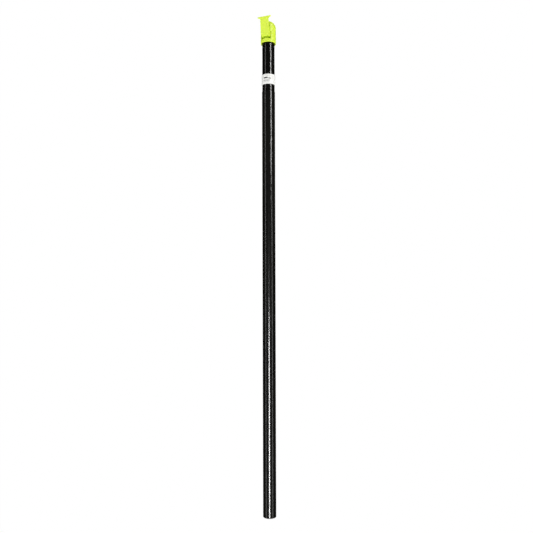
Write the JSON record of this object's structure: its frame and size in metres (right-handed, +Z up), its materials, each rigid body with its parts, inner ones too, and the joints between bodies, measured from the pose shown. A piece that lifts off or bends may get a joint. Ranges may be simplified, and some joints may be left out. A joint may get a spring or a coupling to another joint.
{
  "type": "avalanche probe",
  "caption": "Telescoping avalanche probe, stowed: slim black tube with a grip sleeve and label, nested inner tubes, and a lime head with a hinged locking lever.",
  "frame": {"origin": "centre of the main tube's lower end, which is where the inner tubes leave it", "axes": "+Z up the tube to the head, -Y the side the locking lever faces, +X along the lever's hinge"},
  "size_m": [0.0154, 0.0196, 0.5058],
  "materials": {
    "black_lacquer": "glossy black anodised",
    "shrink_sleeve": "glossy shrink film",
    "white_label": "printed film",
    "lime_plastic": "moulded, semi-gloss",
    "steel": "turned",
    "black_nylon": "moulded",
    "dark_alloy": "satin black anodised",
    "seal_rubber": "moulded"
  },
  "bodies": {
    "main": {"main_tube": "black_lacquer", "grip_sleeve": "shrink_sleeve", "label_band": "white_label", "head_body": "lime_plastic", "lever_pin": "steel", "head_seal": "seal_rubber", "head_screw": "steel", "expander_collet": "black_nylon"},
    "lever": {"lock_lever": "lime_plastic"},
    "rod": {"push_rod": "steel", "expander_cone": "black_nylon", "rod_spring": "steel"},
    "stage_2": {"stage_2_tube": "dark_alloy", "stage_2_plug": "black_nylon"},
    "stage_3": {"stage_3_tube": "dark_alloy", "stage_3_plug": "black_nylon"},
    "stage_4": {"stage_4_tube": "dark_alloy", "stage_4_plug": "black_nylon"},
    "stage_5": {"stage_5_tube": "dark_alloy", "stage_5_plug": "black_nylon"},
    "stage_6": {"stage_6_tube": "dark_alloy", "stage_6_plug": "black_nylon", "probe_tip": "steel", "tip_pin": "steel"}
  },
  "joints": [
    {"name": "lever_hinge", "type": "hinge", "parent": "main", "child": "lever", "pos_m": [0, -0.0044, 0.4893], "axis": [1, 0, 0], "range_deg": [0, 50]},
    {"name": "rod_slide", "type": "slide", "parent": "main", "child": "rod", "axis": [0, 0, 1], "range_m": [0, 0.0015], "deforming": ["rod_spring"]},
    {"name": "stage_2_slide", "type": "slide", "parent": "main", "child": "stage_2", "axis": [0, 0, -1], "range_m": [0, 0.417]},
    {"name": "stage_3_slide", "type": "slide", "parent": "stage_2", "child": "stage_3", "axis": [0, 0, -1], "range_m": [0, 0.3995]},
    {"name": "stage_4_slide", "type": "slide", "parent": "stage_3", "child": "stage_4", "axis": [0, 0, -1], "range_m": [0, 0.388]},
    {"name": "stage_5_slide", "type": "slide", "parent": "stage_4", "child": "stage_5", "axis": [0, 0, -1], "range_m": [0, 0.376]},
    {"name": "stage_6_slide", "type": "slide", "parent": "stage_5", "child": "stage_6", "axis": [0, 0, -1], "range_m": [0, 0.3645]}
  ],
  "couplings": [
    {"joint": "lever_hinge", "follows": "rod_slide", "rad_per_m": 581}
  ]
}
